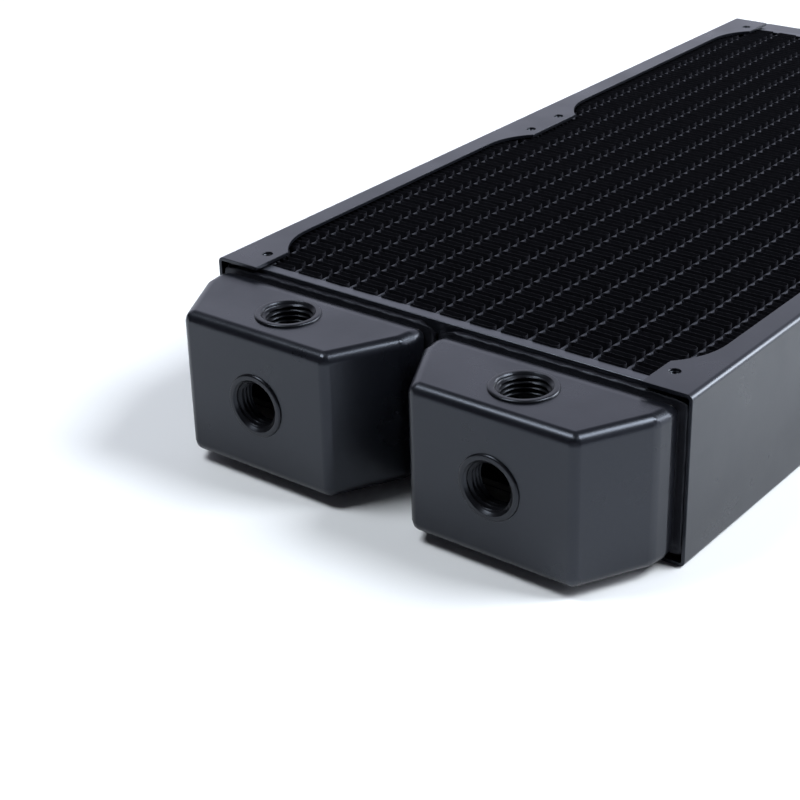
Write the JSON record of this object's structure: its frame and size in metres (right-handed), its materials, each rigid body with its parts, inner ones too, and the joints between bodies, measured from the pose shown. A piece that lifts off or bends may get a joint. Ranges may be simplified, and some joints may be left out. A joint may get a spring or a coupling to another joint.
{
  "type": "liquid cooling radiator",
  "caption": "Long flat black radiator for liquid-cooled computers, with side-by-side port tanks at one end, a return tank at the other and folded fins between flat tubes.",
  "frame": {"origin": "under the middle of the whole radiator, on the plane of its lower fan flanges", "axes": "+X across the width, +Y from the port end to the closed end, +Z through the thickness"},
  "size_m": [0.144, 0.3222, 0.045],
  "materials": {
    "shell_paint": "satin black paint on pressed sheet",
    "core_paint": "satin black paint over soldered tubes and headers",
    "fin_paint": "thin matt black paint on folded foil",
    "port_paint": "satin black paint on turned bushes with an internal thread"
  },
  "bodies": {
    "root": {"side_channel_left": "shell_paint", "side_channel_right": "shell_paint", "front_header": "core_paint", "rear_header": "core_paint", "tank_left": "shell_paint", "tank_right": "shell_paint", "tank_rear": "shell_paint", "port_bush_left_front": "port_paint", "port_bush_left_top": "port_paint", "port_bush_left_bottom": "port_paint", "port_bush_right_front": "port_paint", "port_bush_right_top": "port_paint", "port_bush_right_bottom": "port_paint", "port_bush_rear": "port_paint", "tube_01": "core_paint", "tube_02": "core_paint", "tube_03": "core_paint", "tube_04": "core_paint", "tube_05": "core_paint", "tube_06": "core_paint", "tube_07": "core_paint", "tube_08": "core_paint", "tube_09": "core_paint", "tube_10": "core_paint", "tube_11": "core_paint", "tube_12": "core_paint", "tube_13": "core_paint", "tube_14": "core_paint", "fin_01": "fin_paint", "fin_02": "fin_paint", "fin_03": "fin_paint", "fin_04": "fin_paint", "fin_05": "fin_paint", "fin_06": "fin_paint", "fin_07": "fin_paint", "fin_08": "fin_paint", "fin_09": "fin_paint", "fin_10": "fin_paint", "fin_11": "fin_paint", "fin_12": "fin_paint", "fin_13": "fin_paint", "fin_14": "fin_paint", "fin_15": "fin_paint"}
  },
  "joints": []
}
